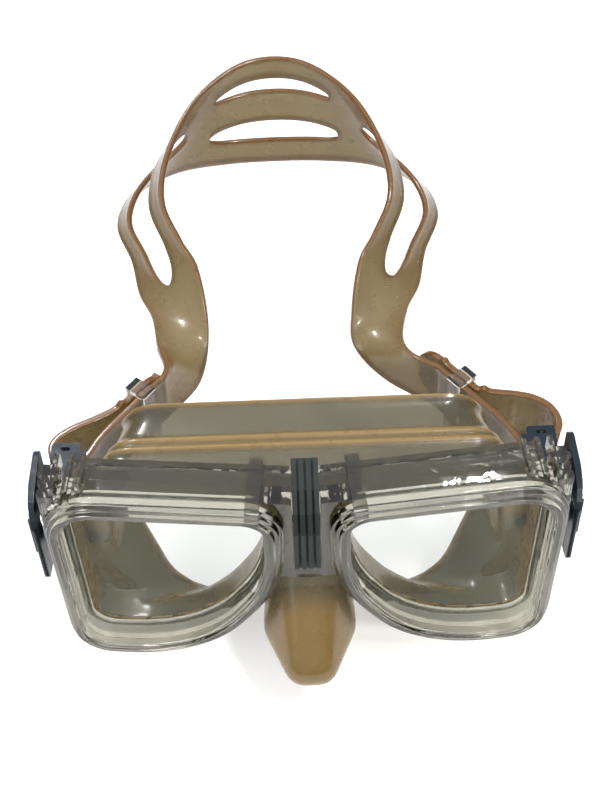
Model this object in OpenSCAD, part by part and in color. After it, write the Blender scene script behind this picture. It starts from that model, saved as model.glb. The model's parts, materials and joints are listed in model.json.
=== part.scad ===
// Two-window snorkel mask: clear frame and lens rings, silicone skirt with a nose
// pocket, swivel buckles with rollers and press levers, and a split silicone strap.
// Origin at the bridge on the lens plane. +X right, +Y towards the face, +Z up.

/* [Windows] */
// Height of each window above the origin
win_top = 34.5; // [32:0.5:36]
// Depth of each window below the origin
win_bottom = 40.5; // [37:0.5:42]
// Distance from the middle plane to the outer edge of a window
win_outer = 78; // [75:0.5:79]
// Sweep-back of each window from straight ahead, in degrees
wrap = 5.5; // [2:0.5:8]
// Width of the clear ring around each window
ring_w = 6; // [5.5:0.5:6.5]
// Thickness of each lens
lens_t = 3.2; // [2.6:0.1:3.4]

/* [Skirt] */
// Wall thickness of the silicone skirt
skirt_t = 2; // [1.6:0.1:2.6]
// Distance from the lens plane to the face edge of the skirt
skirt_depth = 43; // [40:1:50]
// Half width of the skirt at its face edge
face_half = 61; // [58:1:64]
// Lean of the face edge, its lower side forward, in degrees
face_tilt = 9; // [4:1:11]
// Reach of the nose pocket in front of the lens plane
nose_reach = 24; // [18:1:28]

/* [Buckles] */
// Distance from the middle plane to each buckle's swivel axis
swivel_x = 80.5; // [80:0.5:83]
// Diameter of the swivel pins
swivel_d = 3; // [2.5:0.1:3.4]
// Diameter of the strap rollers
roller_d = 6; // [5:0.5:7]
// Diameter of the roller pins
roller_pin_d = 2.4; // [2:0.1:3]
// Diameter of the lever pins
lever_pin_d = 2; // [1.6:0.1:2.2]
// Radial running clearance of every pin in its bore
run_gap = 0.05; // [0.03:0.01:0.09]

/* [Strap] */
// Width of the strap band where it passes through a buckle
band_w = 22; // [18:1:24]
// Thickness of the strap band
band_t = 2.4; // [2:0.1:2.6]
// Reach of the strap loop behind the lens plane
loop_reach = 205; // [190:5:220]

/* [Hidden] */
$fn = 48;
eps = 0.02;

clear_c = [0.80, 0.83, 0.84, 0.55];
amber_c = [0.86, 0.72, 0.42, 0.85];
dark_c = [0.17, 0.21, 0.26];
steel_c = [0.72, 0.74, 0.76];

hinge_x = 12;            // each window plane turns about this upright line
ring_front = -7;         // local depth of the ring's front ridge
insert_half = 4.2;       // half width of the bridge insert
seat = -1;               // parting plane between retainer and frame
frame_back = 7;          // rear face of the frame rings
fit_gap = 0.1;           // static gap around a lens
swivel_y = 21;           // swivel axis, behind the lens plane
lug_top = 20;            // top of the upper frame lug
lug_bottom = -14;        // underside of the lower frame lug
lug_h = 5;               // height of each lug
lug_r = 4;               // radius of each lug round its pin
lug_in = 3;              // the lug block starts this far inside the swivel axis
side_gap = 0.2;          // end gap of every part that turns
arm_h = 3.2;             // height of each buckle arm
roller_y = 17;           // roller axis, behind the swivel axis
lever_x = 5.5;           // lever axis, outside the swivel axis
lever_y = 8;             // lever axis, behind the swivel axis
band_mid = (lug_top + lug_bottom) / 2;
strap_in = 38;           // inward lean of the strap behind a buckle
stem_start = 30;         // straight strap length carried by a buckle
stem_len = 16;           // straight strap length at a keeper
tail_end = 50;            // end of the free tail
cut_gap = 2;             // space between neighbouring strap solids

// ---------- outline helpers ----------
function unit(v) = v / norm(v);
function arc_corner(a, b, c, r, n) =
  let (u = unit(a - b), v = unit(c - b), half = acos(u * v) / 2,
       mid = b + unit(u + v) * r / sin(half),
       p = b + u * r / tan(half) - mid, q = b + v * r / tan(half) - mid,
       start = atan2(p[1], p[0]), turn = atan2(p[0]*q[1] - p[1]*q[0], p * q))
  [for (k = [0:n]) mid + r * [cos(start + turn*k/n), sin(start + turn*k/n)]];
function rounded(pts, radii, n = 7) =
  let (m = len(pts))
  [for (i = [0:m-1]) each arc_corner(pts[(i+m-1)%m], pts[i], pts[(i+1)%m], radii[i], n)];
function grow_corner(a, b, c, d) =
  let (u = unit(a - b), v = unit(c - b), half = acos(u * v) / 2)
  b - unit(u + v) * d / sin(half);
function grow(pts, d) =
  let (m = len(pts))
  [for (i = [0:m-1]) grow_corner(pts[(i+m-1)%m], pts[i], pts[(i+1)%m], d)];

win_pts = [[1, win_top], [1.5, 0], [26, -win_bottom],
           [win_outer - hinge_x - 1, -win_bottom], [win_outer - hinge_x, win_top]];
win_radii = [7, 60, 45, 9, 12];
function window(d) = rounded(grow(win_pts, d), [for (r = win_radii) r + d]);

// A flat outline in X and Z, solid from depth y0 to y1
module slab(pts, y0, y1) {
  translate([0, y1, 0]) rotate([90, 0, 0]) linear_extrude(y1 - y0) polygon(pts);
}

// Puts right-hand window geometry in place for side 1, or mirrored for side -1
module at_window(side) {
  mirror([side < 0 ? 1 : 0, 0, 0]) translate([hinge_x, 0, 0]) rotate([0, 0, wrap]) children();
}

// A profile in Y and Z drawn along X from x0 to x1
module rail(pts, x0, x1) {
  translate([x0, 0, 0]) rotate([90, 0, 90]) linear_extrude(x1 - x0) polygon(pts);
}

module upright(x, y, z0, z1, r) {
  translate([x, y, z0]) cylinder(h = z1 - z0, r = r);
}

module block(x0, x1, y0, y1, z0, z1) {
  translate([x0, y0, z0]) cube([x1 - x0, y1 - y0, z1 - z0]);
}

// ---------- frame and lenses ----------
brow_low = win_top + 2;           // underside of the brow shelf
corner_in = win_outer - 10.8;     // inner face of the block at each upper outer corner
corner_low = 19.7;                // underside of that block
brow_profile = [[seat, brow_low], [seat, brow_low + 3.7], [3, brow_low + 4.7], [9, brow_low + 4.7],
                [10.8, brow_low + 5.5], [12.6, brow_low + 5.5], [12.6, brow_low + 1], [frame_back, brow_low]];
bridge_profile = [[-6, 8], [-6, 33.5], [-3.3, 37.5], [2.2, 40.9], [3, 40.9], [3, 8]];

module frame_half() {
  difference() {
    union() {
      slab(window(ring_w), seat, frame_back);
      rail(brow_profile, -hinge_x, win_outer - hinge_x - 2.5);
      block(-hinge_x, 2, seat, frame_back, 0, brow_low + 1);
      block(corner_in, win_outer - 6, seat, 12, corner_low, brow_low + 2);
      for (x = [corner_in - 9.2:4.2:corner_in])
        block(x, x + 1.6, seat + 0.3, 13.4, brow_low + 0.5, brow_low + 6.2);
      for (y = [0.5, 4.5, 8.5])
        block(corner_in + 2.8, corner_in + 5.6, y, y + 2, corner_low + 1, brow_low + 1);
    }
    slab(window(2.5 + fit_gap), seat - 1, seat + lens_t + fit_gap);
    slab(window(-1), seat, frame_back + 2);
    slab(window(1.5), frame_back - 3.2, frame_back + 2);
  }
}

module lugs(side) {
  mirror([side < 0 ? 1 : 0, 0, 0]) for (z = [lug_bottom, lug_top - lug_h]) difference() {
    union() {
      upright(swivel_x, swivel_y, z, z + lug_h, lug_r);
      block(swivel_x - lug_in, swivel_x + 1, swivel_y - 9, swivel_y, z, z + lug_h);
    }
    upright(swivel_x, swivel_y, z - 1, z + lug_h + 1, swivel_d / 2);
  }
}

module frame() {
  color(clear_c) union() {
    difference() {
      for (side = [-1, 1]) at_window(side) frame_half();
      block(-insert_half - 0.4, insert_half + 0.4, -12, 2.4, 8, 50);
    }
    rail(bridge_profile, -insert_half - 0.2, insert_half + 0.2);
    for (side = [-1, 1]) lugs(side);
  }
}

module lens_retainer(side) {
  color(clear_c) at_window(side) difference() {
    union() {
      slab(window(ring_w), seat - 2.5, seat);
      slab(window(ring_w - 1.4), seat - 4.5, seat);
      slab(window(ring_w - 2.8), ring_front, seat);
    }
    slab(window(0), ring_front - 1, seat + 1);
    slab(window(1.2), ring_front - 1, ring_front + 1.5);
    block(-20, -hinge_x + insert_half + 0.5, -20, 5, -60, 60);
  }
}

module lens(side) {
  color([0.85, 0.93, 0.95, 0.3]) at_window(side) slab(window(2.5), seat, seat + lens_t);
}

// ---------- bridge insert and brow clips ----------
module bridge_insert() {
  color(dark_c) union() {
    rail([[-7.6, 14], [-7.6, 33.2], [-4.2, 38.6], [1.5, 43], [13.5, 43.8], [13.5, 42.1], [9, 42.1],
          [7.8, 41.6], [2.5, 41.5], [-3.4, 37.7], [-6.1, 33.6], [-6.1, 14]], -insert_half, insert_half);
    for (k = [-1.5:1:1.5])
      rail([[-9.1, 15.5], [-9.1, 33.8], [-5.4, 39.8], [0.8, 44.5], [12.3, 45.3], [12.3, 43], [1.8, 42.4],
            [-3.8, 38.2], [-7, 33.2], [-7, 15.5]], k * 2.3 - 0.75, k * 2.3 + 0.75);
  }
}
module brow_clip(side) {
  color(clear_c) at_window(side)
    rail([[-7, 37.9], [-5.7, 37.9], [-5.7, 40.8], [3, 41.5], [9, 41.5], [10.7, 42.2], [13.2, 42.2],
          [13.2, 38], [14.6, 38], [14.6, 43.4], [10, 43.4], [8.5, 42.8], [-7, 42.2]], 2, 6.4);
}

// ---------- skirt ----------
face_top = 36.5;                  // upper edge of the face opening
face_pts = [[-face_half + 4, face_top], [face_half - 4, face_top], [face_half, 4],
            [42, -57], [-42, -57], [-face_half, 4]];
face_radii = [13, 13, 30, 26, 26, 30];
hull_pts = [[-70, 36], [70, 36], [72, -36], [58, -42], [-58, -42], [-72, -36]];
hull_radii = [8, 8, 6, 12, 12, 6];
hull_y = 15.5;                    // the hood starts this far behind the lens plane
stub_back = 18;                   // rear end of the sleeve behind each window
lip = 3;                          // width of the seal turned out round the face edge

// The face outline grown by d, from y0 to y1 behind the face plane, leaning with the cheeks
module face_slab(d, y0, y1) {
  translate([0, skirt_depth, face_top]) rotate([-face_tilt, 0, 0]) translate([0, 0, -face_top])
    slab(rounded(grow(face_pts, d), [for (r = face_radii) r + d], 4), y0, y1);
}
module skirt_form(d) {
  hull() {
    slab(rounded(grow(hull_pts, -d), [for (r = hull_radii) r - d], 4), hull_y, hull_y + 0.5);
    face_slab(-d, -1, 0);
  }
}
module nose_form(d) {
  hull() {
    for (x = [-2.5, 2.5]) translate([x, 7 - nose_reach, -31]) sphere(r = 7 - d, $fn = 24);
    for (x = [-8, 8]) translate([x, -3, -28]) sphere(r = 8 - d, $fn = 24);
    translate([0, 2, -15]) rotate([-90, 0, 0]) cylinder(r = 13 - d, h = 14 + d, $fn = 32);
    translate([0, 8, -28]) rotate([-90, 0, 0]) cylinder(r = 15 - d, h = 8 + d, $fn = 32);
  }
}
module skirt() {
  color(amber_c) difference() {
    union() {
      skirt_form(0);
      for (side = [-1, 1]) at_window(side) slab(window(1), frame_back, stub_back);
      nose_form(0);
      face_slab(lip, -2, 0);
    }
    translate([0, eps, 0]) skirt_form(skirt_t);
    for (side = [-1, 1]) at_window(side) slab(window(1 - skirt_t), frame_back - 1, stub_back + 2);
    nose_form(skirt_t);
    face_slab(-skirt_t, -3, 1);
    for (side = [-1, 1]) {
      at_window(side) {
        slab(window(ring_w + 0.3), -20, frame_back + eps);
        block(-hinge_x, win_outer, -5, 13.8, brow_low - 0.4, brow_low + 20);
        block(corner_in - 0.4, win_outer, -5, 13.8, corner_low - 0.3, brow_low + 20);
      }
      at_buckle(side) {
        upright(0, 0, lug_bottom - 0.3, lug_top + 0.3, lug_r + 0.2);
        block(-lug_in - 0.2, lug_r, -12, 0, lug_bottom - 0.3, lug_top + 0.3);
      }
    }
  }
}

// ---------- buckles: right-hand geometry about the swivel axis, mirrored for side -1 ----------
module at_buckle(side) {
  mirror([side < 0 ? 1 : 0, 0, 0]) translate([swivel_x, swivel_y, 0]) children();
}
barrel_bottom = lug_bottom + lug_h + side_gap;
barrel_top = lug_top - lug_h - side_gap;
arm_zs = [[lug_bottom, lug_bottom + arm_h], [lug_top - arm_h, lug_top]];
arm_in = lug_bottom + arm_h;      // inner face of the lower arm
arm_out = lug_top - arm_h;        // inner face of the upper arm
web_y = 4.6;                      // the web starts behind the frame lugs

module swivel_pin(side) {
  color(steel_c) at_buckle(side) {
    upright(0, 0, lug_bottom, lug_top, swivel_d / 2);
    upright(0, 0, lug_top, lug_top + 1, swivel_d / 2 + 0.8);
  }
}

module buckle_body(side) {
  color(clear_c) at_buckle(side) difference() {
    union() {
      upright(0, 0, barrel_bottom, barrel_top, 3.6);
      block(-2, 2, 0, web_y + 1, barrel_bottom, barrel_top);
      block(-2.5, 2.5, web_y, web_y + 2.4, lug_bottom, lug_top);
      for (z = arm_zs) {
        block(-3, 3, web_y, roller_y, z[0], z[1]);
        upright(0, roller_y, z[0], z[1], 3.5);
        block(0, lever_x, lever_y - 2.5, lever_y + 2.5, z[0], z[1]);
        upright(lever_x, lever_y, z[0], z[1], 2.5);
      }
    }
    upright(0, 0, barrel_bottom - 1, barrel_top + 1, swivel_d / 2 + run_gap);
    upright(0, roller_y, lug_bottom - 1, lug_top + 1, roller_pin_d / 2);
    upright(lever_x, lever_y, lug_bottom - 1, lug_top + 1, lever_pin_d / 2);
  }
}

module roller_pin(side) {
  color(steel_c) at_buckle(side) upright(0, roller_y, lug_bottom, lug_top, roller_pin_d / 2);
}

module strap_roller(side) {
  color(clear_c) at_buckle(side) difference() {
    upright(0, roller_y, arm_in + side_gap, arm_out - side_gap, roller_d / 2);
    upright(0, roller_y, arm_in, arm_out, roller_pin_d / 2 + run_gap);
  }
}

// Dark cover plate with a top tab and its oval hole
tab_outline = rounded([[-5.8, 10], [3.8, 12], [3.8, 19.4], [-5.8, 19.4]], [0.5, 0.5, 1.4, 1.4], 4);
module buckle_yoke(side) {
  color(dark_c) at_buckle(side) difference() {
    union() {
      block(-7.8, -6, web_y, 16, lug_bottom, lug_top + 2);
      block(-7.8, 3, web_y, 16, lug_top, lug_top + 2);
      translate([0, 0, lug_top]) linear_extrude(2) polygon(tab_outline);
      block(-7.8, -3, web_y, web_y + 2.4, lug_bottom, lug_top);
      block(-7.8, 3, web_y, 16, lug_bottom - 1.6, lug_bottom);
    }
    for (x = [-1.8, 0]) upright(x, 16.8, lug_top - 1, lug_top + 3, 0.75);
    block(-1.8, 0, 16.05, 17.55, lug_top - 1, lug_top + 3);
    for (z = [lug_top - 1, lug_bottom - 3])
      upright(lever_x, lever_y, z, z + 4, 3.2);
  }
}

lever_outline = rounded([[8.5, 21], [8.5, 3], [8.2, -5], [7.4, -10.5], [8.6, -12.5], [10.2, -4],
                         [10.8, 4], [10.4, 21]], [0.8, 20, 20, 0.6, 0.6, 20, 20, 0.8], 3);
lever_low = -22;                  // lower end of the press lever
lever_high = 19.5;                // its upper end
lever_side = rounded([[lever_low, -13], [lever_high, -13], [lever_high, 21], [lever_low + 1, 21]],
                     [17, 10, 5, 14]);
module buckle_lever(side) {
  color(dark_c) at_buckle(side) difference() {
    union() {
      intersection() {
        translate([0, 0, lever_low]) linear_extrude(lever_high - lever_low) polygon(lever_outline);
        translate([20, 0, 0]) rotate([0, -90, 0]) linear_extrude(20) polygon(lever_side);
      }
      upright(lever_x, lever_y, arm_in + side_gap, arm_out - side_gap, 2.4);
      block(lever_x, 9, lever_y - 1.5, lever_y + 1.5, arm_in + side_gap, arm_out - side_gap);
      for (k = [0:4]) block(9.6, 11.3, -5 + k*2.4, -4 + k*2.4, band_mid - 9, band_mid + 9);
    }
    upright(lever_x, lever_y, lug_bottom, lug_top, lever_pin_d / 2 + run_gap);
  }
}

module lever_pin(side) {
  color(steel_c) at_buckle(side) upright(lever_x, lever_y, lug_bottom, lug_top, lever_pin_d / 2);
}

// Leaf spring seated on the inside of the lever, its free end resting beside the frame lugs
module lever_spring(side) {
  color(steel_c) at_buckle(side) translate([0, 0, band_mid - 4]) linear_extrude(8)
    polygon([[8.45, 3], [8.25, -1], [6.4, -5], [5.6, -4.8], [7.5, -0.6], [7.5, 3]]);
}

// ---------- strap ----------
// Strap frame: origin on the roller axis, Y along the straight strap
module at_strap(side) {
  at_buckle(side) translate([0, roller_y, band_mid - band_w/2]) rotate([0, 0, strap_in]) children();
}
leg_x = band_t/2 + 0.3;           // each leg's distance from the straight centreline
wrap_r = roller_d/2 + 0.1 + band_t/2;

function normal2(p, i) = let (a = p[max(i-1, 0)], b = p[min(i+1, len(p)-1)], t = unit(b - a)) [-t[1], t[0]];
function ribbon2(p, t) = concat([for (i = [0:len(p)-1]) p[i] + normal2(p, i) * t/2],
                                [for (i = [len(p)-1:-1:0]) p[i] - normal2(p, i) * t/2]);
wrap_path = concat([[leg_x, stem_start], [leg_x, 22], [wrap_r - 1, 10]],
                   [for (a = [15:-15:-195]) wrap_r * [cos(a), sin(a)]],
                   [[-wrap_r + 1, 10], [-leg_x, 22], [-leg_x, stem_start]]);

module strap_end(side) {
  color(amber_c) at_strap(side) linear_extrude(band_w) polygon(ribbon2(wrap_path, band_t));
}

stem_end = stem_start + stem_len;
module strap_stem(side) {
  color(amber_c) at_strap(side)
    block(-leg_x - band_t/2, -leg_x + band_t/2, stem_start + cut_gap, stem_end, 0, band_w);
}

// Free tail of the strap, with a rounded end and fine grip ribs
module strap_tail(side) {
  x0 = leg_x - band_t/2;
  color(amber_c) at_strap(side) union() {
    rail(rounded([[stem_start + cut_gap, 0], [tail_end, 0], [tail_end, band_w],
                  [stem_start + cut_gap, band_w]], [0.5, 10.8, 10.8, 0.5]), x0, x0 + band_t);
    for (k = [0:3]) translate([0, tail_end - 7 + k*1.4, 0])
      block(x0 + band_t - 0.2, x0 + band_t + 0.12, 0, 0.7, 5.5, band_w - 5.5);
  }
}

keeper_y = 39;                    // middle of each keeper along the strap
keeper_half = leg_x + band_t/2 + 0.15;
module strap_keeper(side) {
  color(clear_c) at_strap(side) difference() {
    block(-keeper_half - 1.6, keeper_half + 1.6, keeper_y - 3, keeper_y + 3, -1.8, band_w + 1.8);
    block(-keeper_half, keeper_half, keeper_y - 4, keeper_y + 4, -0.2, band_w + 0.2);
  }
}

// The loop is a band between two edge curves. Half of each is given from the keeper to the
// middle of the back of the head. The band turns over on the way, so the edge that is upper
// at the back of the head is the lower one at the keeper.
join_x = swivel_x - (stem_end + 4) * sin(strap_in) - leg_x * cos(strap_in);
join_y = swivel_y + roller_y + (stem_end + 4) * cos(strap_in) - leg_x * sin(strap_in);
back_y = loop_reach + 18;
upper_half = [[join_x, join_y, band_mid - band_w/2], [35, 88, -6], [27.2, 98.7, 1], [26.8, 110, 8],
              [30.5, 128, 16], [37, 141, 18], [44, 160, 21], [42, 180, 27], [32, back_y - 20, 34],
              [16, back_y - 5, 39], [0, back_y, 40]];
lower_half = [[join_x, join_y, band_mid + band_w/2], [45, 82, 13], [45.2, 94, 9], [48.4, 114, 3],
              [54, 131, -2], [58, 152, -4], [65, 175, -6], [60, 196, -8], [44, back_y - 12, -10],
              [22, back_y - 5, -12], [0, back_y - 4, -12]];
strap_lean = 7;                   // the loop sits this far to the left of the middle plane
function lean(k) = -strap_lean * min(1, k / 2);
function full(half) = concat([for (k = [0:10]) half[k] + [lean(k), 0, 0]],
                             [for (k = [9:-1:0]) [-half[k][0] + lean(k), half[k][1], half[k][2]]]);
upper_edge = full(upper_half);
lower_edge = full(lower_half);
function along(p, s) =
  let (n = len(p) - 1, i = min(floor(s), n - 1), f = s - i,
       a = p[max(i-1, 0)], b = p[i], c = p[i+1], d = p[min(i+2, n)])
  0.5 * (2*b + (c - a)*f + (2*a - 5*b + 4*c - d)*f*f + (3*b - a - 3*c + d)*f*f*f);
function band_point(s, w) = along(lower_edge, s) * (1 - w)/2 + along(upper_edge, s) * (1 + w)/2;
function band_normal(s, w) =
  unit(cross(band_point(min(s+0.1, 20), w) - band_point(max(s-0.1, 0), w),
             band_point(s, 1) - band_point(s, -1)));

loop_n = 76;                      // cells along the loop
loop_m = 10;                      // cells across the band
// Openings in the band: a teardrop at each side and two slots across the back
function open_cell(i, j) =
  let (s = (i + 0.5) * 20 / loop_n, k = s <= 10 ? s : 20 - s)
  (k > 4.2 && k < 7.8 && j >= (k < 4.8 ? 4 : 3) && j <= (k > 7.2 ? 5 : 6)) ||
  (k > 8.9 && (j == 2 || j == 3 || j == 7));
function solid_cell(i, j) = i >= 0 && i < loop_n && j >= 0 && j < loop_m && !open_cell(i, j);
function vertex(i, j, f) = (i * (loop_m + 1) + j) * 2 + f;

module strap_loop() {
  points = [for (i = [0:loop_n]) for (j = [0:loop_m]) for (f = [0, 1])
    let (s = i * 20 / loop_n, w = 2*j / loop_m - 1)
    band_point(s, w) + band_normal(s, w) * (f - 0.5) * band_t];
  faces = [for (i = [0:loop_n-1]) for (j = [0:loop_m-1]) if (solid_cell(i, j)) each concat(
    [[vertex(i,j,0), vertex(i,j+1,0), vertex(i+1,j+1,0), vertex(i+1,j,0)],
     [vertex(i,j,1), vertex(i+1,j,1), vertex(i+1,j+1,1), vertex(i,j+1,1)]],
    solid_cell(i-1, j) ? [] : [[vertex(i,j,0), vertex(i,j,1), vertex(i,j+1,1), vertex(i,j+1,0)]],
    solid_cell(i+1, j) ? [] : [[vertex(i+1,j,0), vertex(i+1,j+1,0), vertex(i+1,j+1,1), vertex(i+1,j,1)]],
    solid_cell(i, j-1) ? [] : [[vertex(i,j,0), vertex(i+1,j,0), vertex(i+1,j,1), vertex(i,j,1)]],
    solid_cell(i, j+1) ? [] : [[vertex(i,j+1,0), vertex(i,j+1,1), vertex(i+1,j+1,1), vertex(i+1,j+1,0)]])];
  color(amber_c) polyhedron(points = points, faces = faces, convexity = 8);
}

frame();
lens_retainer(-1);  // lens_retainer_left
lens_retainer(1);  // lens_retainer_right
lens(-1);  // lens_left
lens(1);  // lens_right
bridge_insert();
brow_clip(-1);  // brow_clip_left
brow_clip(1);  // brow_clip_right
skirt();
swivel_pin(-1);  // swivel_pin_left
swivel_pin(1);  // swivel_pin_right
buckle_body(-1);  // buckle_body_left
buckle_body(1);  // buckle_body_right
buckle_yoke(-1);  // buckle_yoke_left
buckle_yoke(1);  // buckle_yoke_right
buckle_lever(-1);  // buckle_lever_left
buckle_lever(1);  // buckle_lever_right
lever_pin(-1);  // lever_pin_left
lever_pin(1);  // lever_pin_right
lever_spring(-1);  // lever_spring_left
lever_spring(1);  // lever_spring_right
strap_roller(-1);  // strap_roller_left
strap_roller(1);  // strap_roller_right
roller_pin(-1);  // roller_pin_left
roller_pin(1);  // roller_pin_right
strap_end(-1);  // strap_end_left
strap_end(1);  // strap_end_right
strap_stem(-1);  // strap_stem_left
strap_stem(1);  // strap_stem_right
strap_tail(-1);  // strap_tail_left
strap_tail(1);  // strap_tail_right
strap_loop();
strap_keeper(-1);  // strap_keeper_left
strap_keeper(1);  // strap_keeper_right
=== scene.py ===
"""Snorkel mask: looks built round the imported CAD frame. Lengths inside the builders are in mm."""
import json
import math

import bmesh
import bpy
import numpy as np
from mathutils import Matrix, Vector


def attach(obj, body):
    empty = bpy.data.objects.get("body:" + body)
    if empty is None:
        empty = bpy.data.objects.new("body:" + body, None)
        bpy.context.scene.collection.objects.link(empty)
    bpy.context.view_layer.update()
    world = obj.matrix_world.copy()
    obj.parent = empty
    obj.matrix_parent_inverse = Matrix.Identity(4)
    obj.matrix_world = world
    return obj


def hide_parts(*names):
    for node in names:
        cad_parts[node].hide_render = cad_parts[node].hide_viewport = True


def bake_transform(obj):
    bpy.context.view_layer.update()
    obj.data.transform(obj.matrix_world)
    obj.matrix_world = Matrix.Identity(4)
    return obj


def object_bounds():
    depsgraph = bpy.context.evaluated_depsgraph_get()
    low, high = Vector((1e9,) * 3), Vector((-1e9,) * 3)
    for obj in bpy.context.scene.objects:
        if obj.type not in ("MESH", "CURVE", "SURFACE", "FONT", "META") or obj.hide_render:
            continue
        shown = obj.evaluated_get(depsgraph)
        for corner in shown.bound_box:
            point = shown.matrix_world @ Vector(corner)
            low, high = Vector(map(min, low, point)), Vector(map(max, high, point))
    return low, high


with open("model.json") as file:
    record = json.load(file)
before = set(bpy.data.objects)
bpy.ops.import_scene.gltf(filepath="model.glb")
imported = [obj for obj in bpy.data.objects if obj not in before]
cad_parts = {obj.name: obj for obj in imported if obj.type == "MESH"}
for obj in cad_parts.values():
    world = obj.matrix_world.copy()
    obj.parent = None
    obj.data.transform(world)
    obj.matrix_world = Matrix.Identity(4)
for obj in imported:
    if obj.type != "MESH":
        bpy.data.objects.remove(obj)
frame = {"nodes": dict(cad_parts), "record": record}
cad_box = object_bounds()

MM = 0.001
NODES = frame["nodes"]
SIDES = {"left": -1, "right": 1}

# ---------------------------------------------------------------- design values, as in the CAD
WIN_TOP = 34.5
WIN_BOTTOM = 40.5
WIN_OUTER = 78.0
WRAP = math.radians(5.5)
HINGE_X = 12.0
FRAME_BACK = 7.0
SWIVEL = np.array([80.5, 21.0])
ROLLER_Y = 17.0
ROLLER_R = 3.0
BAND_W = 22.0
BAND_T = 2.4
BAND_MID = 3.0
STRAP_IN = math.radians(38)
LEG_X = BAND_T / 2 + 0.3
SKIRT_DEPTH = 43.0
FACE_HALF = 61.0
FACE_TOP = 36.5
FACE_TILT = math.radians(9)


# ---------------------------------------------------------------- outlines
def unit(v):
    return v / np.linalg.norm(v)


def rounded(points, radii, steps=7):
    """Corner points with a fillet at each, as one closed list of 2-D points."""
    points = [np.array(p, float) for p in points]
    out = []
    for i, b in enumerate(points):
        u = unit(points[i - 1] - b)
        v = unit(points[(i + 1) % len(points)] - b)
        half = math.acos(float(np.clip(u @ v, -1, 1))) / 2
        mid = b + unit(u + v) * radii[i] / math.sin(half)
        p = b + u * radii[i] / math.tan(half) - mid
        q = b + v * radii[i] / math.tan(half) - mid
        start = math.atan2(p[1], p[0])
        turn = math.atan2(p[0] * q[1] - p[1] * q[0], float(p @ q))
        for k in range(steps + 1):
            a = start + turn * k / steps
            out.append(mid + radii[i] * np.array([math.cos(a), math.sin(a)]))
    return np.array(out)


def grow(points, d):
    """The corner points moved outwards by d on every side."""
    points = [np.array(p, float) for p in points]
    out = []
    for i, b in enumerate(points):
        u = unit(points[i - 1] - b)
        v = unit(points[(i + 1) % len(points)] - b)
        half = math.acos(float(u @ v)) / 2
        out.append(b - unit(u + v) * d / math.sin(half))
    return out


WIN_PTS = [[1, WIN_TOP], [1.5, 0], [26, -WIN_BOTTOM],
           [WIN_OUTER - HINGE_X - 1, -WIN_BOTTOM], [WIN_OUTER - HINGE_X, WIN_TOP]]
WIN_RADII = [7, 60, 45, 9, 12]


def window(d, steps=12):
    return rounded(grow(WIN_PTS, d), [r + d for r in WIN_RADII], steps)


def at_window(side, s, y, z):
    """Window coordinates (across, depth, height) to row coordinates, for side 1 or -1."""
    x = HINGE_X + s * math.cos(WRAP) - y * math.sin(WRAP)
    return np.stack([side * x, s * math.sin(WRAP) + y * math.cos(WRAP), z + 0 * x], axis=-1)


# ---------------------------------------------------------------- mesh helpers
def ease(a, b, x):
    t = min(1, max(0, (x - a) / (b - a)))
    return t * t * (3 - 2 * t)


def new_object(name, verts, faces, material=None, edge=None):
    mesh = bpy.data.meshes.new(name)
    mesh.from_pydata([tuple(v) for v in np.asarray(verts) * MM], [], faces)
    mesh.validate()
    bm = bmesh.new()
    bm.from_mesh(mesh)
    bmesh.ops.recalc_face_normals(bm, faces=bm.faces)
    bm.to_mesh(mesh)
    bm.free()
    if edge is not None:
        mesh.attributes.new("edge", "FLOAT", "POINT").data.foreach_set("value", edge)
    mesh.polygons.foreach_set("use_smooth", [True] * len(mesh.polygons))
    obj = bpy.data.objects.new(name, mesh)
    bpy.context.collection.objects.link(obj)
    if material:
        mesh.materials.append(material)
    return obj


def modifier(obj, kind, **values):
    m = obj.modifiers.new(kind.title(), kind)
    for key, value in values.items():
        setattr(m, key, value)
    return m


def apply_modifiers(obj):
    bpy.context.view_layer.update()
    graph = bpy.context.evaluated_depsgraph_get()
    mesh = bpy.data.meshes.new_from_object(obj.evaluated_get(graph))
    obj.modifiers.clear()
    obj.data = mesh
    return obj


def torus_grid(rows):
    """Faces of a closed tube: rows[i][j], closed both ways. Returns vertices and quads."""
    n, m = rows.shape[:2]
    faces = [(i * m + j, i * m + (j + 1) % m, (i + 1) % n * m + (j + 1) % m, (i + 1) % n * m + j)
             for i in range(n) for j in range(m)]
    return rows.reshape(-1, 3), faces


def shell_grid(points, normals, thick, solid, edge):
    """A plate of varying thickness on a grid of points, with a wall wherever a cell is missing."""
    n, m = points.shape[:2]
    half = normals * thick[..., None] / 2
    verts = np.concatenate([(points + half).reshape(-1, 3), (points - half).reshape(-1, 3)])
    back = n * m
    faces = []

    def idx(i, j):
        return i * m + j

    def filled(i, j):
        return 0 <= i < n - 1 and 0 <= j < m - 1 and solid[i, j]

    for i in range(n - 1):
        for j in range(m - 1):
            if not solid[i, j]:
                continue
            a, b, c, d = idx(i, j), idx(i + 1, j), idx(i + 1, j + 1), idx(i, j + 1)
            faces.append((a, b, c, d))
            faces.append((a + back, d + back, c + back, b + back))
            for (p, q), (ni, nj) in (((a, b), (i, j - 1)), ((b, c), (i + 1, j)),
                                     ((c, d), (i, j + 1)), ((d, a), (i - 1, j))):
                if not filled(ni, nj):
                    faces.append((q, p, p + back, q + back))
    used = sorted({v for f in faces for v in f})
    remap = {v: k for k, v in enumerate(used)}
    both = np.concatenate([edge.reshape(-1), edge.reshape(-1)])
    return verts[used], [tuple(remap[v] for v in f) for f in faces], both[used]


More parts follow.
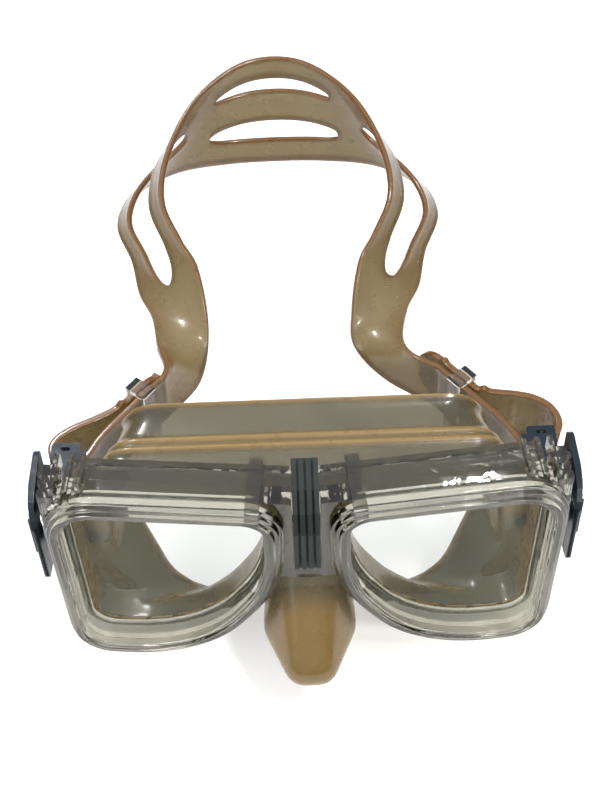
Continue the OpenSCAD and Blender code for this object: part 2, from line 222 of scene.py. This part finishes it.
def along(points, s):
    """Catmull-Rom curve through points, at parameter s."""
    n = len(points) - 1
    i = min(int(s), n - 1)
    f = s - i
    a, b, c, d = points[max(i - 1, 0)], points[i], points[i + 1], points[min(i + 2, n)]
    return 0.5 * (2 * b + (c - a) * f + (2 * a - 5 * b + 4 * c - d) * f * f
                  + (3 * b - a - 3 * c + d) * f ** 3)


# ---------------------------------------------------------------- materials
def material(name):
    m = bpy.data.materials.new(name)
    m.use_nodes = True
    nt = m.node_tree
    nt.nodes.clear()
    out = nt.nodes.new("ShaderNodeOutputMaterial")
    return m, nt, out


def link(nt, a, b):
    nt.links.new(a, b)


def noise(nt, scale, detail=3.0):
    coord = nt.nodes.new("ShaderNodeTexCoord")
    tex = nt.nodes.new("ShaderNodeTexNoise")
    tex.inputs["Scale"].default_value = scale
    tex.inputs["Detail"].default_value = detail
    link(nt, coord.outputs["Object"], tex.inputs["Vector"])
    return tex.outputs["Fac"]


def ramp(nt, source, stops):
    node = nt.nodes.new("ShaderNodeValToRGB")
    while len(node.color_ramp.elements) < len(stops):
        node.color_ramp.elements.new(0.5)
    for element, (pos, colour) in zip(node.color_ramp.elements, stops):
        element.position = pos
        element.color = colour if len(colour) == 4 else (*colour, 1)
    link(nt, source, node.inputs["Fac"])
    return node.outputs["Color"]


def bump(nt, source, strength, distance):
    node = nt.nodes.new("ShaderNodeBump")
    node.inputs["Strength"].default_value = strength
    node.inputs["Distance"].default_value = distance
    link(nt, source, node.inputs["Height"])
    return node.outputs["Normal"]


def facing(nt, blend_value):
    node = nt.nodes.new("ShaderNodeLayerWeight")
    node.inputs["Blend"].default_value = blend_value
    return node.outputs["Facing"]


def attribute(nt, name):
    node = nt.nodes.new("ShaderNodeAttribute")
    node.attribute_name = name
    return node.outputs["Fac"]


def mix_colour(nt, factor, a, b, kind="MIX"):
    node = nt.nodes.new("ShaderNodeMix")
    node.data_type = "RGBA"
    node.blend_type = kind
    for value, socket in ((factor, "Factor"), (a, "A"), (b, "B")):
        target = [i for i in node.inputs if i.name == socket and i.enabled][0]
        if isinstance(value, bpy.types.NodeSocket):
            link(nt, value, target)
        elif socket == "Factor":
            target.default_value = value
        else:
            target.default_value = (*value, 1)
    return [o for o in node.outputs if o.enabled][0]


def maximum(nt, a, b):
    node = nt.nodes.new("ShaderNodeMath")
    node.operation = "MAXIMUM"
    link(nt, a, node.inputs[0])
    link(nt, b, node.inputs[1])
    return node.outputs[0]


def mix_transparent(nt, out, shader, factor, tint):
    """Surface of shader where factor is 1, tinted clear where it is 0."""
    clear = nt.nodes.new("ShaderNodeBsdfTransparent")
    if isinstance(tint, bpy.types.NodeSocket):
        link(nt, tint, clear.inputs["Color"])
    else:
        clear.inputs["Color"].default_value = (*tint, 1)
    mixer = nt.nodes.new("ShaderNodeMixShader")
    link(nt, clear.outputs[0], mixer.inputs[1])
    link(nt, shader, mixer.inputs[2])
    link(nt, factor, mixer.inputs[0])
    link(nt, mixer.outputs[0], out.inputs["Surface"])


def grey(v):
    return (v, v, v)


def clear_plastic(name, tint, shade):
    """Clear moulded plastic: bends what is behind it, and lets lamps and soft light straight through."""
    m, nt, out = material(name)
    p = nt.nodes.new("ShaderNodeBsdfPrincipled")
    p.inputs["IOR"].default_value = 1.49
    p.inputs["Transmission Weight"].default_value = 1.0
    link(nt, ramp(nt, noise(nt, 90, 5), [(0.35, tuple(c * 0.93 for c in tint)), (0.7, tint)]),
         p.inputs["Base Color"])
    link(nt, ramp(nt, noise(nt, 220, 6), [(0.3, grey(0.01)), (0.75, grey(0.07))]), p.inputs["Roughness"])
    link(nt, bump(nt, noise(nt, 180, 2), 0.12, 0.0008), p.inputs["Normal"])
    path = nt.nodes.new("ShaderNodeLightPath")
    straight = maximum(nt, path.outputs["Is Shadow Ray"], path.outputs["Is Diffuse Ray"])
    clear = nt.nodes.new("ShaderNodeBsdfTransparent")
    clear.inputs["Color"].default_value = (*shade, 1)
    mixer = nt.nodes.new("ShaderNodeMixShader")
    link(nt, straight, mixer.inputs[0])
    link(nt, p.outputs[0], mixer.inputs[1])
    link(nt, clear.outputs[0], mixer.inputs[2])
    link(nt, mixer.outputs[0], out.inputs["Surface"])
    return m


def lens_glass():
    m, nt, out = material("lens_glass")
    p = nt.nodes.new("ShaderNodeBsdfPrincipled")
    p.inputs["Base Color"].default_value = (0.30, 0.34, 0.34, 1)
    p.inputs["IOR"].default_value = 1.52
    link(nt, ramp(nt, noise(nt, 60, 4), [(0.3, grey(0.02)), (0.8, grey(0.07))]), p.inputs["Roughness"])
    factor = ramp(nt, facing(nt, 0.3), [(0.0, grey(0.02)), (0.5, grey(0.05)), (1.0, grey(0.6))])
    mix_transparent(nt, out, p.outputs[0], factor, (0.985, 0.995, 0.99))
    return m


def silicone(name, face, edge, face_tint, edge_tint, low, high):
    """Translucent silicone: pale on its faces, deep amber and denser along rims, beads and grazing parts."""
    m, nt, out = material(name)
    p = nt.nodes.new("ShaderNodeBsdfPrincipled")
    p.inputs["IOR"].default_value = 1.42
    p.inputs["Subsurface Weight"].default_value = 0.2
    p.inputs["Subsurface Radius"].default_value = (0.012, 0.006, 0.002)
    p.inputs["Subsurface Scale"].default_value = 0.3
    p.inputs["Coat Weight"].default_value = 0.6
    p.inputs["Coat Roughness"].default_value = 0.12
    grazing = ramp(nt, facing(nt, 0.45), [(0.25, grey(0)), (0.95, grey(0.85))])
    rim = maximum(nt, grazing, attribute(nt, "edge"))
    stain = ramp(nt, noise(nt, 28, 4), [(0.35, (0.80, 0.72, 0.55)), (0.7, (1, 1, 1))])
    tone = mix_colour(nt, rim, face, edge)
    link(nt, mix_colour(nt, 0.6, tone, stain, "MULTIPLY"), p.inputs["Base Color"])
    link(nt, ramp(nt, noise(nt, 160, 5), [(0.3, grey(0.22)), (0.75, grey(0.42))]), p.inputs["Roughness"])
    link(nt, bump(nt, noise(nt, 400, 3), 0.15, 0.0004), p.inputs["Normal"])
    factor = ramp(nt, rim, [(0.0, grey(low)), (0.9, grey(high))])
    mix_transparent(nt, out, p.outputs[0], factor, mix_colour(nt, rim, face_tint, edge_tint))
    return m


def moulded(name, dark, light, rough):
    m, nt, out = material(name)
    p = nt.nodes.new("ShaderNodeBsdfPrincipled")
    link(nt, ramp(nt, noise(nt, 70, 5), [(0.3, dark), (0.75, light)]), p.inputs["Base Color"])
    link(nt, ramp(nt, noise(nt, 300, 5), [(0.3, grey(rough - 0.08)), (0.7, grey(rough + 0.08))]),
         p.inputs["Roughness"])
    link(nt, bump(nt, noise(nt, 900, 4), 0.25, 0.0003), p.inputs["Normal"])
    p.inputs["Specular IOR Level"].default_value = 0.25
    link(nt, p.outputs[0], out.inputs["Surface"])
    return m


def steel():
    m, nt, out = material("steel_pin")
    p = nt.nodes.new("ShaderNodeBsdfPrincipled")
    p.inputs["Metallic"].default_value = 1.0
    p.inputs["Base Color"].default_value = (0.66, 0.67, 0.68, 1)
    link(nt, ramp(nt, noise(nt, 400, 5), [(0.3, grey(0.18)), (0.7, grey(0.36))]), p.inputs["Roughness"])
    link(nt, p.outputs[0], out.inputs["Surface"])
    return m


CLEAR = clear_plastic("clear_frame", (0.38, 0.365, 0.31), (0.80, 0.79, 0.75))
GLASS = lens_glass()
STRAP_MAT = silicone("strap_silicone", (0.155, 0.122, 0.062), (0.13, 0.055, 0.008),
                     (0.65, 0.56, 0.38), (0.44, 0.25, 0.07), 0.58, 0.90)
SKIRT_MAT = silicone("skirt_silicone", (0.088, 0.083, 0.058), (0.27, 0.175, 0.055),
                     (0.49, 0.47, 0.385), (0.54, 0.38, 0.16), 0.47, 0.80)
DARK = moulded("dark_plastic", (0.0035, 0.0085, 0.015), (0.007, 0.014, 0.025), 0.40)
RUBBER = moulded("grey_rubber", (0.012, 0.0145, 0.0145), (0.021, 0.024, 0.024), 0.58)
STEEL = steel()
KEEPER = clear_plastic("clear_keeper", (0.72, 0.70, 0.64), (0.92, 0.91, 0.88))
SPECIAL = {"bridge_insert": RUBBER, "strap_keeper_left": KEEPER, "strap_keeper_right": KEEPER}
MATERIALS = {"clear_frame": CLEAR, "lens_glass": GLASS, "amber_silicone": STRAP_MAT,
             "dark_plastic": DARK, "steel_pin": STEEL}


def finish_cad_nodes():
    slots = {e["node"]: e["material_slot"] for e in frame["record"]["subparts"]}
    for name, obj in NODES.items():
        obj.data.materials.clear()
        obj.data.materials.append(SPECIAL.get(name, MATERIALS[slots[name]]))
        obj.data.polygons.foreach_set("use_smooth", [True] * len(obj.data.polygons))
        width = 0.35 if slots[name] != "steel_pin" else 0.15
        modifier(obj, "BEVEL", width=width * MM, segments=3, limit_method="ANGLE",
                 angle_limit=math.radians(35), harden_normals=False)
        modifier(obj, "WEIGHTED_NORMAL", keep_sharp=True)


# ---------------------------------------------------------------- lens retainers
RETAINER_PROFILE = [[0, -1.15], [6, -1.15], [6, -3.4], [5.0, -3.7], [4.75, -5.3], [3.7, -5.6],
                    [3.45, -7], [1.3, -7], [1.0, -5.8], [0, -5.5]]
RETAINER_FILLETS = [0.2, 0.3, 0.7, 0.35, 0.6, 0.35, 0.6, 0.6, 0.3, 0.4]
RETAINER_INNER = 4.8              # both rings stop this far from the middle, beside the bridge insert


def lens_retainer(name, side):
    profile = rounded(RETAINER_PROFILE, RETAINER_FILLETS, 4)
    rows = []
    for d, y in profile:
        outline = window(d, 14)
        p = at_window(side, outline[:, 0], y, outline[:, 1])
        p[:, 0] = side * np.maximum(side * p[:, 0], RETAINER_INNER)
        rows.append(p)
    verts, faces = torus_grid(np.array(rows).transpose(1, 0, 2))
    obj = new_object("retainer_ring_" + name, verts, faces, CLEAR)
    modifier(obj, "WEIGHTED_NORMAL")
    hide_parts("lens_retainer_" + name)
    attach(obj, "mask")
    return obj


# ---------------------------------------------------------------- skirt
HULL_PTS = [[-70, 36], [70, 36], [72, -36], [58, -42], [-58, -42], [-72, -36]]
HULL_RADII = [8, 8, 6, 12, 12, 6]
HULL_Y = 15.8
STUB_BACK = 18.0
FACE_PTS = [[4 - FACE_HALF, FACE_TOP], [FACE_HALF - 4, FACE_TOP], [FACE_HALF, 4],
            [42, -57], [-42, -57], [-FACE_HALF, 4]]
FACE_RADII = [13, 13, 30, 26, 26, 30]
FACE_OUT = np.array([0, math.cos(FACE_TILT), -math.sin(FACE_TILT)])      # towards the wearer
FACE_DOWN = np.array([0, -math.sin(FACE_TILT), -math.cos(FACE_TILT)])


def face_point(x, z, behind=0.0):
    """A point of the leaning face plane, from its outline coordinates."""
    return (np.array([x, SKIRT_DEPTH, FACE_TOP]) + FACE_DOWN * (FACE_TOP - z) + FACE_OUT * behind)


def before_face(p):
    """How far a point lies in front of the face plane."""
    return float((np.array([0, SKIRT_DEPTH, FACE_TOP]) - np.asarray(p)) @ FACE_OUT)


def outline_at(points, radii, grow_by, y, steps=8):
    flat = rounded(grow(points, grow_by), [r + grow_by for r in radii], steps)
    return np.column_stack([flat[:, 0], np.full(len(flat), y), flat[:, 1]])


def ball(centre, r, steps=10):
    out = []
    for a in np.linspace(-math.pi / 2, math.pi / 2, steps):
        for b in np.linspace(0, 2 * math.pi, 2 * steps, endpoint=False):
            out.append(np.array(centre) + r * np.array([math.cos(a) * math.cos(b), math.cos(a) * math.sin(b),
                                                        math.sin(a)]))
    return np.array(out)


def add_hull(bm, points):
    verts = [bm.verts.new(Vector(p) * MM) for p in points]
    result = bmesh.ops.convex_hull(bm, input=verts)
    loose = [g for g in result["geom_interior"] if isinstance(g, bmesh.types.BMVert)]
    bmesh.ops.delete(bm, geom=[v for v in loose if v.is_valid], context="VERTS")


def cutter(side):
    """A solid just larger than a window, reaching back to the front edge of its sleeve."""
    w = window(3.0, 10)
    bm = bmesh.new()
    add_hull(bm, np.concatenate([at_window(side, w[:, 0], -30, w[:, 1]),
                                 at_window(side, w[:, 0], FRAME_BACK - 2.8, w[:, 1])]))
    mesh = bpy.data.meshes.new("window_cutter")
    bm.to_mesh(mesh)
    bm.free()
    mesh.materials.append(SKIRT_MAT)
    mesh.materials.append(CLEAR)
    mesh.polygons.foreach_set("material_index", [1] * len(mesh.polygons))
    obj = bpy.data.objects.new("window_cutter", mesh)
    bpy.context.collection.objects.link(obj)
    return obj


def skirt_surface():
    """Outer skin of hood, window sleeves and nose pocket, open at the windows and at the face."""
    bm = bmesh.new()
    face = rounded(grow(FACE_PTS, -0.5), [r - 0.5 for r in FACE_RADII], 8)
    add_hull(bm, np.concatenate([outline_at(HULL_PTS, HULL_RADII, -0.5, HULL_Y),
                                 np.array([face_point(x, z, 3) for x, z in face])]))
    for side in (-1, 1):
        w = window(0.6, 8)
        add_hull(bm, np.concatenate([at_window(side, w[:, 0], FRAME_BACK - 4, w[:, 1]),
                                     at_window(side, w[:, 0], STUB_BACK, w[:, 1])]))
    circle = [(math.cos(a), math.sin(a)) for a in np.linspace(0, 2 * math.pi, 32, endpoint=False)]
    nose = [ball((x, -17, -31), 7) for x in (-2.5, 2.5)] + [ball((x, -3, -28), 8) for x in (-8, 8)]
    nose.append(np.array([[13 * c, y, 13 * d - 15] for c, d in circle for y in (2, 16)]))
    nose.append(np.array([[15 * c, y, 15 * d - 28] for c, d in circle for y in (8, 16)]))
    add_hull(bm, np.concatenate(nose))
    mesh = bpy.data.meshes.new("skirt_shell")
    bm.to_mesh(mesh)
    bm.free()
    mesh.materials.append(SKIRT_MAT)
    mesh.materials.append(CLEAR)
    obj = bpy.data.objects.new("skirt_shell", mesh)
    bpy.context.collection.objects.link(obj)
    modifier(obj, "REMESH", mode="VOXEL", voxel_size=1.0 * MM)
    modifier(obj, "SMOOTH", factor=0.5, iterations=10)
    cutters = [cutter(side) for side in (-1, 1)]
    for c in cutters:
        modifier(obj, "BOOLEAN", operation="DIFFERENCE", object=c, solver="EXACT")
    apply_modifiers(obj)
    for c in cutters:
        bpy.data.objects.remove(c)
    return obj


SKIRT_BEADS = (13.6, 17.0)        # two beads run round the hood this far in front of the face edge
BEAD_LIMIT = 19                   # no bead nearer the lens plane than this


def skirt():
    obj = skirt_surface()
    bm = bmesh.new()
    bm.from_mesh(obj.data)
    bmesh.ops.delete(bm, geom=[f for f in bm.faces if f.material_index == 1], context="FACES")
    bmesh.ops.bisect_plane(bm, geom=bm.verts[:] + bm.edges[:] + bm.faces[:], clear_outer=True,
                           plane_co=Vector(face_point(0, FACE_TOP)) * MM, plane_no=Vector(FACE_OUT))
    bm.normal_update()
    edge = bm.verts.layers.float.new("edge")
    moves = []
    for v in bm.verts:
        p = np.array(v.co) / MM
        t = before_face(p)
        hood = 1 / (1 + math.exp(-(p[1] - BEAD_LIMIT) / 0.8))
        bead = sum(math.exp(-((t - b) / 1.15) ** 2) for b in SKIRT_BEADS) * hood
        flare = math.exp(-max(t, 0) / 2.2)
        moves.append((v, v.normal.copy(), 0.9 * bead + 2.2 * flare))
        nose = ease(2, -10, p[1]) if abs(p[0]) < 22 else 0.0
        front = 1.0 if v.is_boundary and t > 2 else 0.0
        v[edge] = min(1.0, bead + 0.9 * math.exp(-(max(t, 0) / 0.9) ** 2) + 0.8 * nose + 0.7 * front)
    for v, n, d in moves:
        v.co += n * d * MM
    bm.to_mesh(obj.data)
    bm.free()
    while len(obj.data.materials) > 1:
        obj.data.materials.pop()
    obj.data.polygons.foreach_set("use_smooth", [True] * len(obj.data.polygons))
    modifier(obj, "SOLIDIFY", thickness=1.7 * MM, offset=-1.0)
    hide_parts("skirt")
    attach(obj, "mask")
    return obj


# ---------------------------------------------------------------- strap
STEM_END = 46.0
JOIN_GAP = 4.0
LOOP_START = STEM_END + JOIN_GAP
JOIN = np.array([SWIVEL[0] - LOOP_START * math.sin(STRAP_IN) - LEG_X * math.cos(STRAP_IN),
                 SWIVEL[1] + ROLLER_Y + LOOP_START * math.cos(STRAP_IN) - LEG_X * math.sin(STRAP_IN)])
BACK_Y = 223.0
UPPER_HALF = [[*JOIN, BAND_MID - BAND_W / 2], [35, 88, -6], [27.2, 98.7, 1], [26.8, 110, 8], [30.5, 128, 16],
              [37, 141, 18], [44, 160, 21], [42, 180, 27], [32, BACK_Y - 20, 34], [16, BACK_Y - 5, 39],
              [0, BACK_Y, 40]]
LOWER_HALF = [[*JOIN, BAND_MID + BAND_W / 2], [45, 82, 13], [45.2, 94, 9], [48.4, 114, 3], [54, 131, -2],
              [58, 152, -4], [65, 175, -6], [60, 196, -8], [44, BACK_Y - 12, -10], [22, BACK_Y - 5, -12],
              [0, BACK_Y - 4, -12]]
STRAP_LEAN = 7.0


def strap_point(side, x, y, z):
    """Strap-frame coordinates (across, along, up) to row coordinates."""
    px = SWIVEL[0] + x * math.cos(STRAP_IN) - y * math.sin(STRAP_IN)
    py = SWIVEL[1] + ROLLER_Y + x * math.sin(STRAP_IN) + y * math.cos(STRAP_IN)
    return np.array([side * px, py, z])


SEAM = 39.0                       # the loop and the end piece meet here, inside the keeper
STRAIGHT_END = STEM_END + 0.5     # the loop runs straight up to here


def full_edge(half, z):
    """One edge of the whole loop from seam to seam, leaving each keeper at height z."""
    lean = [-STRAP_LEAN * min(1, k / 2) for k in range(11)]
    right = [np.array(p) + [lean[k], 0, 0] for k, p in enumerate(half)]
    left = [np.array([-p[0] + lean[k], p[1], p[2]]) for k, p in enumerate(half)]
    start = [strap_point(1, -LEG_X, SEAM, z), strap_point(1, -LEG_X, STRAIGHT_END, z)]
    end = [strap_point(-1, -LEG_X, STRAIGHT_END, z), strap_point(-1, -LEG_X, SEAM, z)]
    return np.array(start + right + left[-2::-1] + end)


# The band turns over on its way back, so the edge that ends up upper leaves the keeper as the lower one
UPPER = full_edge(UPPER_HALF, BAND_MID - BAND_W / 2)
LOWER = full_edge(LOWER_HALF, BAND_MID + BAND_W / 2)
STATIONS = len(UPPER) - 1


def bulge(k, centre, half, power):
    x = abs(k - centre) / half
    return (1 - x ** power) ** (1 / power) if x < 1 else 0.0


def band_knots(k):
    """Edges of the four strands and three openings across the band at half-station k, from -1 to 1."""
    side_open = 0.92 * bulge(k, 6.0, 2.1, 2.0)
    low_open = 0.34 * bulge(k, 10, 1.35, 2.6)
    high_open = 0.20 * bulge(k, 10, 1.35, 2.6)
    gap = 0.03
    opens = [max(gap, low_open), max(gap, side_open), max(gap, high_open)]
    t = ease(7.2, 8.8, k)
    share = np.array([0.25 + 0.03 * t, 0.25 - 0.10 * t, 0.25 - 0.08 * t, 0.25 - 0.02 * t])
    share = share / share.sum() * (2 - sum(opens))
    knots = [-1.0]
    for strand in range(4):
        knots.append(knots[-1] + share[strand])
        if strand < 3:
            knots.append(knots[-1] + opens[strand])
    return knots, (low_open > 0, side_open > 0, high_open > 0)


STRAND_ROWS = 4
WEB_T = BAND_T - 0.5              # the band is thinner between its rims
RIM_SPREAD = 1.6                  # reach of the thick rim in from each edge
LOOP_AMBER = 0.65                 # reach of the dark amber line in from each edge of the loop
END_AMBER = 0.6                   # the same on the strap ends


def strap_loop():
    """The band behind the keepers: four strands, two side openings and two slots across the back."""
    n = 420
    rows = 4 * STRAND_ROWS + 3
    points = np.zeros((n + 1, rows + 1, 3))
    thick = np.zeros((n + 1, rows + 1))
    amber = np.zeros((n + 1, rows + 1))
    solid = np.ones((n, rows), bool)
    for i in range(n + 1):
        s = i * STATIONS / n
        lo, hi = along(LOWER, s), along(UPPER, s)
        k = s - 2 if s <= STATIONS / 2 else STATIONS - s - 2
        knots, is_open = band_knots(k)
        ws = [knots[0]]
        for strand in range(4):
            a, b = knots[2 * strand], knots[2 * strand + 1]
            ws += [a + (b - a) * q / STRAND_ROWS for q in range(1, STRAND_ROWS + 1)]
            if strand < 3:
                ws.append(knots[2 * strand + 2])
        ws = np.array(ws)
        points[i] = lo * ((1 - ws) / 2)[:, None] + hi * ((1 + ws) / 2)[:, None]
        edge_w = np.ones(rows + 1) * 2
        borders = [-1, 1]
        for q, flag in enumerate(is_open):
            if flag:
                borders += [knots[2 * q + 1], knots[2 * q + 2]]
                if i < n:
                    solid[i, STRAND_ROWS * (q + 1) + q] = False
        for b in borders:
            edge_w = np.minimum(edge_w, np.abs(ws - b))
        width = np.linalg.norm(hi - lo)
        thick[i] = WEB_T + 0.9 * np.exp(-(edge_w * width / 2 / RIM_SPREAD) ** 2)
        amber[i] = np.exp(-(edge_w * width / 2 / LOOP_AMBER) ** 2)
    tangent = np.gradient(points, axis=0)
    across = np.repeat((points[:, -1] - points[:, 0])[:, None], rows + 1, axis=1)
    normals = np.cross(tangent, across)
    normals /= np.linalg.norm(normals, axis=2, keepdims=True)
    verts, faces, edge = shell_grid(points, normals, thick, solid, amber)
    obj = new_object("strap_back_loop", verts, faces, STRAP_MAT, edge)
    modifier(obj, "SUBSURF", levels=1, render_levels=1)
    apply_modifiers(obj)
    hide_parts("strap_loop")
    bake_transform(obj)
    return obj


WRAP_R = ROLLER_R + 0.1 + BAND_T / 2
TAIL_START = {"right": 51.0, "left": 42.0}      # each free tail starts to round off here
TAIL_NUBS = (30.6, 49.3)                        # small stops on the tail's edges


def chaikin(path, rounds=2):
    for _ in range(rounds):
        new = [path[0]]
        for a, b in zip(path[:-1], path[1:]):
            new += [a * 0.75 + b * 0.25, a * 0.25 + b * 0.75]
        path = np.array(new + [path[-1]])
    return path


def resample(path, step):
    seg = np.linalg.norm(np.diff(path, axis=0), axis=1)
    total = np.concatenate([[0], np.cumsum(seg)])
    at = np.linspace(0, total[-1], int(total[-1] / step) + 1)
    return np.column_stack([np.interp(at, total, path[:, c]) for c in range(2)])


# The slack tail leg bows outwards between the keeper and its roller, more on the right.
# Points are (across, along) in the strap's own frame.
TAIL_BOW = {"right": [[LEG_X, 34.5], [LEG_X, 32.4], [4.6, 28.2], [10.5, 22], [13.9, 17],
                      [15.3, 11.4], [14.2, 6.5], [11.9, 2.8], [7.9, 0.5]],
            "left": [[LEG_X, 34.5], [LEG_X, 32], [2.8, 25.8], [5.8, 19], [8.8, 13], [10.2, 7.3], [9.6, 3.0],
                     [7.2, 0.5]]}


def strap_end(name, side):
    """The doubled strap from the tail's tip, through the keeper, round the roller and back to the seam."""
    round_off = TAIL_START[name]
    arc = [WRAP_R * np.array([math.cos(a), math.sin(a)]) for a in np.radians(range(-25, -200, -10))]
    path = np.array([[LEG_X, round_off + BAND_W / 2 - 0.6], [LEG_X, round_off - 4], *TAIL_BOW[name], *arc,
                     [-WRAP_R + 1, 8], [-LEG_X, 16], [-LEG_X, 30], [-LEG_X, SEAM]])
    path = resample(chaikin(path), 0.45)
    tangent = unit_rows(np.gradient(path, axis=0))
    normal2 = np.column_stack([-tangent[:, 1], tangent[:, 0]])
    rows = 14
    n = len(path)
    first_half = np.arange(n) < n / 2
    points = np.zeros((n, rows + 1, 3))
    normals = np.zeros_like(points)
    thick = np.zeros((n, rows + 1))
    amber = np.zeros((n, rows + 1))
    for i, (x, y) in enumerate(path):
        past = y - round_off if first_half[i] else 0
        nubs = sum(math.exp(-((y - at) / 1.1) ** 2) for at in TAIL_NUBS) if first_half[i] else 0
        half = BAND_W / 2 + 1.3 * nubs
        if past > 0:
            half = math.sqrt(max(half * half - past * past, 2.0))
        ws = np.sin(np.linspace(-1, 1, rows + 1) * math.pi / 2)
        for j, w in enumerate(ws):
            points[i, j] = strap_point(side, x, y, BAND_MID + w * half)
            a = strap_point(side, x + normal2[i, 0], y + normal2[i, 1], BAND_MID + w * half)
            normals[i, j] = a - points[i, j]
        rib = 0.0
        if first_half[i] and y > 8:
            rib = 0.5 * max(0.0, math.sin(y * math.pi / 3.5)) ** 4
        inner = np.abs(ws) * half < half - 2.5
        thick[i] = WEB_T + 0.5 * np.exp(-((1 - np.abs(ws)) * half / RIM_SPREAD) ** 2) + rib * inner
        amber[i] = np.maximum(np.exp(-((1 - np.abs(ws)) * half / END_AMBER) ** 2), 0.5 if i < 3 else 0)
    verts, faces, edge = shell_grid(points, normals, thick, np.ones((n - 1, rows), bool), amber)
    obj = new_object("strap_end_wrap_" + name, verts, faces, STRAP_MAT, edge)
    modifier(obj, "SUBSURF", levels=1, render_levels=1)
    apply_modifiers(obj)
    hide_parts("strap_end_" + name, "strap_stem_" + name, "strap_tail_" + name)
    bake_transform(obj)
    return obj


def unit_rows(v):
    return v / np.linalg.norm(v, axis=1, keepdims=True)


# ---------------------------------------------------------------- stage
def floor():
    bpy.ops.mesh.primitive_plane_add(size=6, location=(0, 0.5, cad_box[0][2] - 0.002))
    obj = bpy.context.object
    obj.name = "floor"
    m, nt, out = material("floor_paper")
    p = nt.nodes.new("ShaderNodeBsdfPrincipled")
    p.inputs["Base Color"].default_value = (0.95, 0.95, 0.945, 1)
    p.inputs["Roughness"].default_value = 0.9
    link(nt, p.outputs[0], out.inputs["Surface"])
    obj.data.materials.append(m)


def area_light(name, location, target, size, power, colour=(1, 1, 1), shadow=True):
    data = bpy.data.lights.new(name, "AREA")
    data.size = size
    data.energy = power
    data.color = colour
    data.use_shadow = shadow
    obj = bpy.data.objects.new(name, data)
    bpy.context.collection.objects.link(obj)
    obj.location = location
    obj.rotation_euler = (Vector(target) - Vector(location)).to_track_quat("-Z", "Y").to_euler()


def sky():
    """Soft overhead light that falls off to the horizon, so that clear edges have dark to mirror."""
    world = bpy.data.worlds.new("studio")
    bpy.context.scene.world = world
    world.use_nodes = True
    nt = world.node_tree
    coord = nt.nodes.new("ShaderNodeTexCoord")
    split = nt.nodes.new("ShaderNodeSeparateXYZ")
    link(nt, coord.outputs["Generated"], split.inputs[0])
    shade = ramp(nt, split.outputs["Z"], [(0.0, grey(0.05)), (0.3, grey(0.2)), (0.75, (0.97, 0.98, 1.0))])
    background = nt.nodes["Background"]
    link(nt, shade, background.inputs["Color"])
    background.inputs["Strength"].default_value = 1.25


def studio():
    floor()
    sky()
    area_light("key", (0.30, -0.25, 0.75), (0, 0.05, 0), 0.10, 4, (1, 0.97, 0.92))
    area_light("back", (-0.25, 0.55, 0.6), (0, 0.05, 0), 0.06, 2, shadow=False)
    area_light("sparkle", (0.18, 0.10, 0.8), (0, 0, 0), 0.03, 1.5, shadow=False)
    area_light("fill", (-0.7, -0.5, 0.6), (0, 0.05, 0), 0.5, 3)
    bpy.context.scene.cycles.transparent_max_bounces = 32
    bpy.context.scene.view_settings.view_transform = "Standard"


CAMERA_DOWN = math.radians(50)
CAMERA_ROLL = math.radians(2.1)
CAMERA_AT = (-0.0006, -0.2652, 0.4041)
FOCAL_PER_HEIGHT = 1.824          # focal length over the picture's height


def camera():
    data = bpy.data.cameras.new("camera")
    obj = bpy.data.objects.new("camera", data)
    bpy.context.collection.objects.link(obj)
    forward = Vector((0, math.cos(CAMERA_DOWN), -math.sin(CAMERA_DOWN)))
    up = Vector((0, math.sin(CAMERA_DOWN), math.cos(CAMERA_DOWN)))
    right = Vector((1, 0, 0))
    c, s = math.cos(CAMERA_ROLL), math.sin(CAMERA_ROLL)
    right, up = c * right - s * up, s * right + c * up
    rot = Matrix((right, up, -forward)).transposed()
    obj.matrix_world = Matrix.Translation(CAMERA_AT) @ rot.to_4x4()
    data.sensor_fit = "VERTICAL"
    data.sensor_height = 24
    data.lens = FOCAL_PER_HEIGHT * 24
    bpy.context.scene.camera = obj


finish_cad_nodes()
for side_name, side_sign in SIDES.items():
    lens_retainer(side_name, side_sign)
    strap_end(side_name, side_sign)
skirt()
strap_loop()
studio()
camera()
